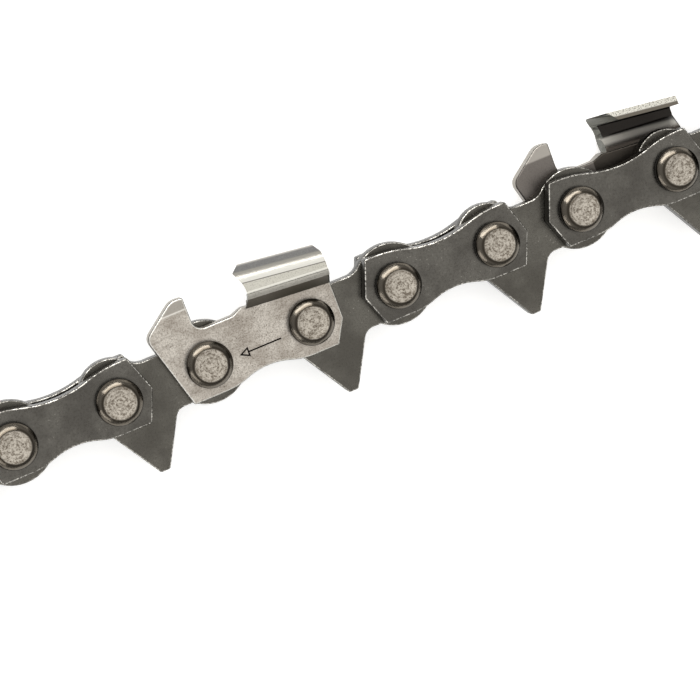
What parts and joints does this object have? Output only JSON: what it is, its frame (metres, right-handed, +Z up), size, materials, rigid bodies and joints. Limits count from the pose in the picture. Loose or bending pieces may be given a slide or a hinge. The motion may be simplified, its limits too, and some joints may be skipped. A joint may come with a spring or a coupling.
{
  "type": "chainsaw chain loop",
  "caption": "Endless saw chain: drive links with pointed tangs, riveted to tie straps and to left and right cutters in turn, so that the loop flexes at every rivet.",
  "frame": {"origin": "under the middle of the loop, on the surface that the chain lies on", "axes": "+Z up along the rivets, X along the straight runs, Y across the loop; on the +Y run the chain travels towards -X"},
  "size_m": [0.2346, 0.0732, 0.0063],
  "materials": {
    "cutter_steel": "bright satin plated steel",
    "tie_strap_steel": "dark heat-treated steel with bright worn edges",
    "drive_link_steel": "dark heat-treated steel with bright worn edges",
    "rivet_steel": "spun bright steel heads with dark flanks"
  },
  "bodies": {
    "left_cutter_link_01": {"left_cutter_link_01": "cutter_steel"},
    "drive_link_01": {"drive_link_01": "drive_link_steel"},
    "tie_strap_link_01": {"tie_strap_link_01": "tie_strap_steel"},
    "drive_link_02": {"drive_link_02": "drive_link_steel"},
    "right_cutter_link_01": {"right_cutter_link_01": "cutter_steel"},
    "drive_link_03": {"drive_link_03": "drive_link_steel"},
    "tie_strap_link_02": {"tie_strap_link_02": "tie_strap_steel"},
    "drive_link_04": {"drive_link_04": "drive_link_steel"},
    "left_cutter_link_02": {"left_cutter_link_02": "cutter_steel"},
    "drive_link_05": {"drive_link_05": "drive_link_steel"},
    "tie_strap_link_03": {"tie_strap_link_03": "tie_strap_steel"},
    "drive_link_06": {"drive_link_06": "drive_link_steel"},
    "right_cutter_link_02": {"right_cutter_link_02": "cutter_steel"},
    "drive_link_07": {"drive_link_07": "drive_link_steel"},
    "tie_strap_link_04": {"tie_strap_link_04": "tie_strap_steel"},
    "drive_link_08": {"drive_link_08": "drive_link_steel"},
    "left_cutter_link_03": {"left_cutter_link_03": "cutter_steel"},
    "drive_link_09": {"drive_link_09": "drive_link_steel"},
    "tie_strap_link_05": {"tie_strap_link_05": "tie_strap_steel"},
    "drive_link_10": {"drive_link_10": "drive_link_steel"},
    "right_cutter_link_03": {"right_cutter_link_03": "cutter_steel"},
    "drive_link_11": {"drive_link_11": "drive_link_steel"},
    "tie_strap_link_06": {"tie_strap_link_06": "tie_strap_steel"},
    "drive_link_12": {"drive_link_12": "drive_link_steel"},
    "left_cutter_link_04": {"left_cutter_link_04": "cutter_steel"},
    "drive_link_13": {"drive_link_13": "drive_link_steel"},
    "tie_strap_link_07": {"tie_strap_link_07": "tie_strap_steel"},
    "drive_link_14": {"drive_link_14": "drive_link_steel"},
    "right_cutter_link_04": {"right_cutter_link_04": "cutter_steel"},
    "drive_link_15": {"drive_link_15": "drive_link_steel"},
    "tie_strap_link_08": {"tie_strap_link_08": "tie_strap_steel"},
    "drive_link_16": {"drive_link_16": "drive_link_steel"},
    "left_cutter_link_05": {"left_cutter_link_05": "cutter_steel"},
    "drive_link_17": {"drive_link_17": "drive_link_steel"},
    "tie_strap_link_09": {"tie_strap_link_09": "tie_strap_steel"},
    "drive_link_18": {"drive_link_18": "drive_link_steel"},
    "right_cutter_link_05": {"right_cutter_link_05": "cutter_steel"},
    "drive_link_19": {"drive_link_19": "drive_link_steel"},
    "tie_strap_link_10": {"tie_strap_link_10": "tie_strap_steel"},
    "drive_link_20": {"drive_link_20": "drive_link_steel"},
    "left_cutter_link_06": {"left_cutter_link_06": "cutter_steel"},
    "drive_link_21": {"drive_link_21": "drive_link_steel"},
    "tie_strap_link_11": {"tie_strap_link_11": "tie_strap_steel"},
    "drive_link_22": {"drive_link_22": "drive_link_steel"},
    "right_cutter_link_06": {"right_cutter_link_06": "cutter_steel"},
    "drive_link_23": {"drive_link_23": "drive_link_steel"},
    "tie_strap_link_12": {"tie_strap_link_12": "tie_strap_steel"},
    "drive_link_24": {"drive_link_24": "drive_link_steel"},
    "left_cutter_link_07": {"left_cutter_link_07": "cutter_steel"},
    "drive_link_25": {"drive_link_25": "drive_link_steel"},
    "tie_strap_link_13": {"tie_strap_link_13": "tie_strap_steel"},
    "drive_link_26": {"drive_link_26": "drive_link_steel"},
    "right_cutter_link_07": {"right_cutter_link_07": "cutter_steel"},
    "drive_link_27": {"drive_link_27": "drive_link_steel"},
    "tie_strap_link_14": {"tie_strap_link_14": "tie_strap_steel"},
    "drive_link_28": {"drive_link_28": "drive_link_steel"}
  },
  "joints": [
    {"name": "pivot_01", "type": "hinge", "parent": "left_cutter_link_01", "child": "drive_link_01", "pos_m": [0.00498, 0.02947, 0.00314], "axis": [0, 0, -1], "range_deg": [-2.25, 6.43]},
    {"name": "pivot_02", "type": "hinge", "parent": "drive_link_01", "child": "tie_strap_link_01", "pos_m": [0.01366, 0.02947, 0.00314], "axis": [0, 0, -1], "range_deg": [-2.25, 6.43]},
    {"name": "pivot_03", "type": "hinge", "parent": "tie_strap_link_01", "child": "drive_link_02", "pos_m": [0.02362, 0.02947, 0.00314], "axis": [0, 0, -1], "range_deg": [-2.25, 6.43]},
    {"name": "pivot_04", "type": "hinge", "parent": "drive_link_02", "child": "right_cutter_link_01", "pos_m": [0.0323, 0.02947, 0.00314], "axis": [0, 0, -1], "range_deg": [-2.25, 6.43]},
    {"name": "pivot_05", "type": "hinge", "parent": "right_cutter_link_01", "child": "drive_link_03", "pos_m": [0.04226, 0.02947, 0.00314], "axis": [0, 0, -1], "range_deg": [-2.25, 6.43]},
    {"name": "pivot_06", "type": "hinge", "parent": "drive_link_03", "child": "tie_strap_link_02", "pos_m": [0.05094, 0.02947, 0.00314], "axis": [0, 0, -1], "range_deg": [-2.25, 6.43]},
    {"name": "pivot_07", "type": "hinge", "parent": "tie_strap_link_02", "child": "drive_link_04", "pos_m": [0.0609, 0.02947, 0.00314], "axis": [0, 0, -1], "range_deg": [-2.25, 6.43]},
    {"name": "pivot_08", "type": "hinge", "parent": "drive_link_04", "child": "left_cutter_link_02", "pos_m": [0.06958, 0.02947, 0.00314], "axis": [0, 0, -1], "range_deg": [-2.25, 6.43]},
    {"name": "pivot_09", "type": "hinge", "parent": "left_cutter_link_02", "child": "drive_link_05", "pos_m": [0.07954, 0.02947, 0.00314], "axis": [0, 0, -1], "range_deg": [-2.25, 6.43]},
    {"name": "pivot_10", "type": "hinge", "parent": "drive_link_05", "child": "tie_strap_link_03", "pos_m": [0.08822, 0.02947, 0.00314], "axis": [0, 0, -1], "range_deg": [-11.57, 4.05]},
    {"name": "pivot_11", "type": "hinge", "parent": "tie_strap_link_03", "child": "drive_link_06", "pos_m": [0.09769, 0.02639, 0.00314], "axis": [0, 0, -1], "range_deg": [-11.57, 4.05]},
    {"name": "pivot_12", "type": "hinge", "parent": "drive_link_06", "child": "right_cutter_link_02", "pos_m": [0.10471, 0.02129, 0.00314], "axis": [0, 0, -1], "range_deg": [-11.57, 4.05]},
    {"name": "pivot_13", "type": "hinge", "parent": "right_cutter_link_02", "child": "drive_link_07", "pos_m": [0.11057, 0.01324, 0.00314], "axis": [0, 0, -1], "range_deg": [-11.57, 4.05]},
    {"name": "pivot_14", "type": "hinge", "parent": "drive_link_07", "child": "tie_strap_link_04", "pos_m": [0.11325, 0.00498, 0.00314], "axis": [0, 0, -1], "range_deg": [-11.57, 4.05]},
    {"name": "pivot_15", "type": "hinge", "parent": "tie_strap_link_04", "child": "drive_link_08", "pos_m": [0.11325, -0.00498, 0.00314], "axis": [0, 0, -1], "range_deg": [-11.57, 4.05]},
    {"name": "pivot_16", "type": "hinge", "parent": "drive_link_08", "child": "left_cutter_link_03", "pos_m": [0.11057, -0.01324, 0.00314], "axis": [0, 0, -1], "range_deg": [-11.57, 4.05]},
    {"name": "pivot_17", "type": "hinge", "parent": "left_cutter_link_03", "child": "drive_link_09", "pos_m": [0.10471, -0.02129, 0.00314], "axis": [0, 0, -1], "range_deg": [-11.57, 4.05]},
    {"name": "pivot_18", "type": "hinge", "parent": "drive_link_09", "child": "tie_strap_link_05", "pos_m": [0.09769, -0.02639, 0.00314], "axis": [0, 0, -1], "range_deg": [-11.57, 4.05]},
    {"name": "pivot_19", "type": "hinge", "parent": "tie_strap_link_05", "child": "drive_link_10", "pos_m": [0.08822, -0.02947, 0.00314], "axis": [0, 0, -1], "range_deg": [-11.57, 4.05]},
    {"name": "pivot_20", "type": "hinge", "parent": "drive_link_10", "child": "right_cutter_link_03", "pos_m": [0.07954, -0.02947, 0.00314], "axis": [0, 0, -1], "range_deg": [-2.25, 6.43]},
    {"name": "pivot_21", "type": "hinge", "parent": "right_cutter_link_03", "child": "drive_link_11", "pos_m": [0.06958, -0.02947, 0.00314], "axis": [0, 0, -1], "range_deg": [-2.25, 6.43]},
    {"name": "pivot_22", "type": "hinge", "parent": "drive_link_11", "child": "tie_strap_link_06", "pos_m": [0.0609, -0.02947, 0.00314], "axis": [0, 0, -1], "range_deg": [-2.25, 6.43]},
    {"name": "pivot_23", "type": "hinge", "parent": "tie_strap_link_06", "child": "drive_link_12", "pos_m": [0.05094, -0.02947, 0.00314], "axis": [0, 0, -1], "range_deg": [-2.25, 6.43]},
    {"name": "pivot_24", "type": "hinge", "parent": "drive_link_12", "child": "left_cutter_link_04", "pos_m": [0.04226, -0.02947, 0.00314], "axis": [0, 0, -1], "range_deg": [-2.25, 6.43]},
    {"name": "pivot_25", "type": "hinge", "parent": "left_cutter_link_04", "child": "drive_link_13", "pos_m": [0.0323, -0.02947, 0.00314], "axis": [0, 0, -1], "range_deg": [-2.25, 6.43]},
    {"name": "pivot_26", "type": "hinge", "parent": "drive_link_13", "child": "tie_strap_link_07", "pos_m": [0.02362, -0.02947, 0.00314], "axis": [0, 0, -1], "range_deg": [-2.25, 6.43]},
    {"name": "pivot_27", "type": "hinge", "parent": "tie_strap_link_07", "child": "drive_link_14", "pos_m": [0.01366, -0.02947, 0.00314], "axis": [0, 0, -1], "range_deg": [-2.25, 6.43]},
    {"name": "pivot_28", "type": "hinge", "parent": "drive_link_14", "child": "right_cutter_link_04", "pos_m": [0.00498, -0.02947, 0.00314], "axis": [0, 0, -1], "range_deg": [-2.25, 6.43]},
    {"name": "pivot_56", "type": "hinge", "parent": "left_cutter_link_01", "child": "drive_link_28", "pos_m": [-0.00498, 0.02947, 0.00314], "axis": [0, 0, 1], "range_deg": [-2.25, 6.43]},
    {"name": "pivot_55", "type": "hinge", "parent": "drive_link_28", "child": "tie_strap_link_14", "pos_m": [-0.01366, 0.02947, 0.00314], "axis": [0, 0, 1], "range_deg": [-2.25, 6.43]},
    {"name": "pivot_54", "type": "hinge", "parent": "tie_strap_link_14", "child": "drive_link_27", "pos_m": [-0.02362, 0.02947, 0.00314], "axis": [0, 0, 1], "range_deg": [-2.25, 6.43]},
    {"name": "pivot_53", "type": "hinge", "parent": "drive_link_27", "child": "right_cutter_link_07", "pos_m": [-0.0323, 0.02947, 0.00314], "axis": [0, 0, 1], "range_deg": [-2.25, 6.43]},
    {"name": "pivot_52", "type": "hinge", "parent": "right_cutter_link_07", "child": "drive_link_26", "pos_m": [-0.04226, 0.02947, 0.00314], "axis": [0, 0, 1], "range_deg": [-2.25, 6.43]},
    {"name": "pivot_51", "type": "hinge", "parent": "drive_link_26", "child": "tie_strap_link_13", "pos_m": [-0.05094, 0.02947, 0.00314], "axis": [0, 0, 1], "range_deg": [-2.25, 6.43]},
    {"name": "pivot_50", "type": "hinge", "parent": "tie_strap_link_13", "child": "drive_link_25", "pos_m": [-0.0609, 0.02947, 0.00314], "axis": [0, 0, 1], "range_deg": [-2.25, 6.43]},
    {"name": "pivot_49", "type": "hinge", "parent": "drive_link_25", "child": "left_cutter_link_07", "pos_m": [-0.06958, 0.02947, 0.00314], "axis": [0, 0, 1], "range_deg": [-2.25, 6.43]},
    {"name": "pivot_48", "type": "hinge", "parent": "left_cutter_link_07", "child": "drive_link_24", "pos_m": [-0.07954, 0.02947, 0.00314], "axis": [0, 0, 1], "range_deg": [-2.25, 6.43]},
    {"name": "pivot_47", "type": "hinge", "parent": "drive_link_24", "child": "tie_strap_link_12", "pos_m": [-0.08822, 0.02947, 0.00314], "axis": [0, 0, 1], "range_deg": [-11.57, 4.05]},
    {"name": "pivot_46", "type": "hinge", "parent": "tie_strap_link_12", "child": "drive_link_23", "pos_m": [-0.09769, 0.02639, 0.00314], "axis": [0, 0, 1], "range_deg": [-11.57, 4.05]},
    {"name": "pivot_45", "type": "hinge", "parent": "drive_link_23", "child": "right_cutter_link_06", "pos_m": [-0.10471, 0.02129, 0.00314], "axis": [0, 0, 1], "range_deg": [-11.57, 4.05]},
    {"name": "pivot_44", "type": "hinge", "parent": "right_cutter_link_06", "child": "drive_link_22", "pos_m": [-0.11057, 0.01324, 0.00314], "axis": [0, 0, 1], "range_deg": [-11.57, 4.05]},
    {"name": "pivot_43", "type": "hinge", "parent": "drive_link_22", "child": "tie_strap_link_11", "pos_m": [-0.11325, 0.00498, 0.00314], "axis": [0, 0, 1], "range_deg": [-11.57, 4.05]},
    {"name": "pivot_42", "type": "hinge", "parent": "tie_strap_link_11", "child": "drive_link_21", "pos_m": [-0.11325, -0.00498, 0.00314], "axis": [0, 0, 1], "range_deg": [-11.57, 4.05]},
    {"name": "pivot_41", "type": "hinge", "parent": "drive_link_21", "child": "left_cutter_link_06", "pos_m": [-0.11057, -0.01324, 0.00314], "axis": [0, 0, 1], "range_deg": [-11.57, 4.05]},
    {"name": "pivot_40", "type": "hinge", "parent": "left_cutter_link_06", "child": "drive_link_20", "pos_m": [-0.10471, -0.02129, 0.00314], "axis": [0, 0, 1], "range_deg": [-11.57, 4.05]},
    {"name": "pivot_39", "type": "hinge", "parent": "drive_link_20", "child": "tie_strap_link_10", "pos_m": [-0.09769, -0.02639, 0.00314], "axis": [0, 0, 1], "range_deg": [-11.57, 4.05]},
    {"name": "pivot_38", "type": "hinge", "parent": "tie_strap_link_10", "child": "drive_link_19", "pos_m": [-0.08822, -0.02947, 0.00314], "axis": [0, 0, 1], "range_deg": [-11.57, 4.05]},
    {"name": "pivot_37", "type": "hinge", "parent": "drive_link_19", "child": "right_cutter_link_05", "pos_m": [-0.07954, -0.02947, 0.00314], "axis": [0, 0, 1], "range_deg": [-2.25, 6.43]},
    {"name": "pivot_36", "type": "hinge", "parent": "right_cutter_link_05", "child": "drive_link_18", "pos_m": [-0.06958, -0.02947, 0.00314], "axis": [0, 0, 1], "range_deg": [-2.25, 6.43]},
    {"name": "pivot_35", "type": "hinge", "parent": "drive_link_18", "child": "tie_strap_link_09", "pos_m": [-0.0609, -0.02947, 0.00314], "axis": [0, 0, 1], "range_deg": [-2.25, 6.43]},
    {"name": "pivot_34", "type": "hinge", "parent": "tie_strap_link_09", "child": "drive_link_17", "pos_m": [-0.05094, -0.02947, 0.00314], "axis": [0, 0, 1], "range_deg": [-2.25, 6.43]},
    {"name": "pivot_33", "type": "hinge", "parent": "drive_link_17", "child": "left_cutter_link_05", "pos_m": [-0.04226, -0.02947, 0.00314], "axis": [0, 0, 1], "range_deg": [-2.25, 6.43]},
    {"name": "pivot_32", "type": "hinge", "parent": "left_cutter_link_05", "child": "drive_link_16", "pos_m": [-0.0323, -0.02947, 0.00314], "axis": [0, 0, 1], "range_deg": [-2.25, 6.43]},
    {"name": "pivot_31", "type": "hinge", "parent": "drive_link_16", "child": "tie_strap_link_08", "pos_m": [-0.02362, -0.02947, 0.00314], "axis": [0, 0, 1], "range_deg": [-2.25, 6.43]},
    {"name": "pivot_30", "type": "hinge", "parent": "tie_strap_link_08", "child": "drive_link_15", "pos_m": [-0.01366, -0.02947, 0.00314], "axis": [0, 0, 1], "range_deg": [-2.25, 6.43]}
  ],
  "couplings": [
    {"joint": "pivot_02", "follows": "pivot_01", "ratio": 1},
    {"joint": "pivot_03", "follows": "pivot_01", "ratio": 1},
    {"joint": "pivot_04", "follows": "pivot_01", "ratio": 1},
    {"joint": "pivot_05", "follows": "pivot_01", "ratio": 1},
    {"joint": "pivot_06", "follows": "pivot_01", "ratio": 1},
    {"joint": "pivot_07", "follows": "pivot_01", "ratio": 1},
    {"joint": "pivot_08", "follows": "pivot_01", "ratio": 1},
    {"joint": "pivot_09", "follows": "pivot_01", "ratio": 1},
    {"joint": "pivot_10", "follows": "pivot_01", "ratio": -1.8},
    {"joint": "pivot_11", "follows": "pivot_01", "ratio": -1.8},
    {"joint": "pivot_12", "follows": "pivot_01", "ratio": -1.8},
    {"joint": "pivot_13", "follows": "pivot_01", "ratio": -1.8},
    {"joint": "pivot_14", "follows": "pivot_01", "ratio": -1.8},
    {"joint": "pivot_15", "follows": "pivot_01", "ratio": -1.8},
    {"joint": "pivot_16", "follows": "pivot_01", "ratio": -1.8},
    {"joint": "pivot_17", "follows": "pivot_01", "ratio": -1.8},
    {"joint": "pivot_18", "follows": "pivot_01", "ratio": -1.8},
    {"joint": "pivot_19", "follows": "pivot_01", "ratio": -1.8},
    {"joint": "pivot_20", "follows": "pivot_01", "ratio": 1},
    {"joint": "pivot_21", "follows": "pivot_01", "ratio": 1},
    {"joint": "pivot_22", "follows": "pivot_01", "ratio": 1},
    {"joint": "pivot_23", "follows": "pivot_01", "ratio": 1},
    {"joint": "pivot_24", "follows": "pivot_01", "ratio": 1},
    {"joint": "pivot_25", "follows": "pivot_01", "ratio": 1},
    {"joint": "pivot_26", "follows": "pivot_01", "ratio": 1},
    {"joint": "pivot_27", "follows": "pivot_01", "ratio": 1},
    {"joint": "pivot_28", "follows": "pivot_01", "ratio": 1},
    {"joint": "pivot_56", "follows": "pivot_01", "ratio": 1},
    {"joint": "pivot_55", "follows": "pivot_01", "ratio": 1},
    {"joint": "pivot_54", "follows": "pivot_01", "ratio": 1},
    {"joint": "pivot_53", "follows": "pivot_01", "ratio": 1},
    {"joint": "pivot_52", "follows": "pivot_01", "ratio": 1},
    {"joint": "pivot_51", "follows": "pivot_01", "ratio": 1},
    {"joint": "pivot_50", "follows": "pivot_01", "ratio": 1},
    {"joint": "pivot_49", "follows": "pivot_01", "ratio": 1},
    {"joint": "pivot_48", "follows": "pivot_01", "ratio": 1},
    {"joint": "pivot_47", "follows": "pivot_01", "ratio": -1.8},
    {"joint": "pivot_46", "follows": "pivot_01", "ratio": -1.8},
    {"joint": "pivot_45", "follows": "pivot_01", "ratio": -1.8},
    {"joint": "pivot_44", "follows": "pivot_01", "ratio": -1.8},
    {"joint": "pivot_43", "follows": "pivot_01", "ratio": -1.8},
    {"joint": "pivot_42", "follows": "pivot_01", "ratio": -1.8},
    {"joint": "pivot_41", "follows": "pivot_01", "ratio": -1.8},
    {"joint": "pivot_40", "follows": "pivot_01", "ratio": -1.8},
    {"joint": "pivot_39", "follows": "pivot_01", "ratio": -1.8},
    {"joint": "pivot_38", "follows": "pivot_01", "ratio": -1.8},
    {"joint": "pivot_37", "follows": "pivot_01", "ratio": 1},
    {"joint": "pivot_36", "follows": "pivot_01", "ratio": 1},
    {"joint": "pivot_35", "follows": "pivot_01", "ratio": 1},
    {"joint": "pivot_34", "follows": "pivot_01", "ratio": 1},
    {"joint": "pivot_33", "follows": "pivot_01", "ratio": 1},
    {"joint": "pivot_32", "follows": "pivot_01", "ratio": 1},
    {"joint": "pivot_31", "follows": "pivot_01", "ratio": 1},
    {"joint": "pivot_30", "follows": "pivot_01", "ratio": 1}
  ]
}
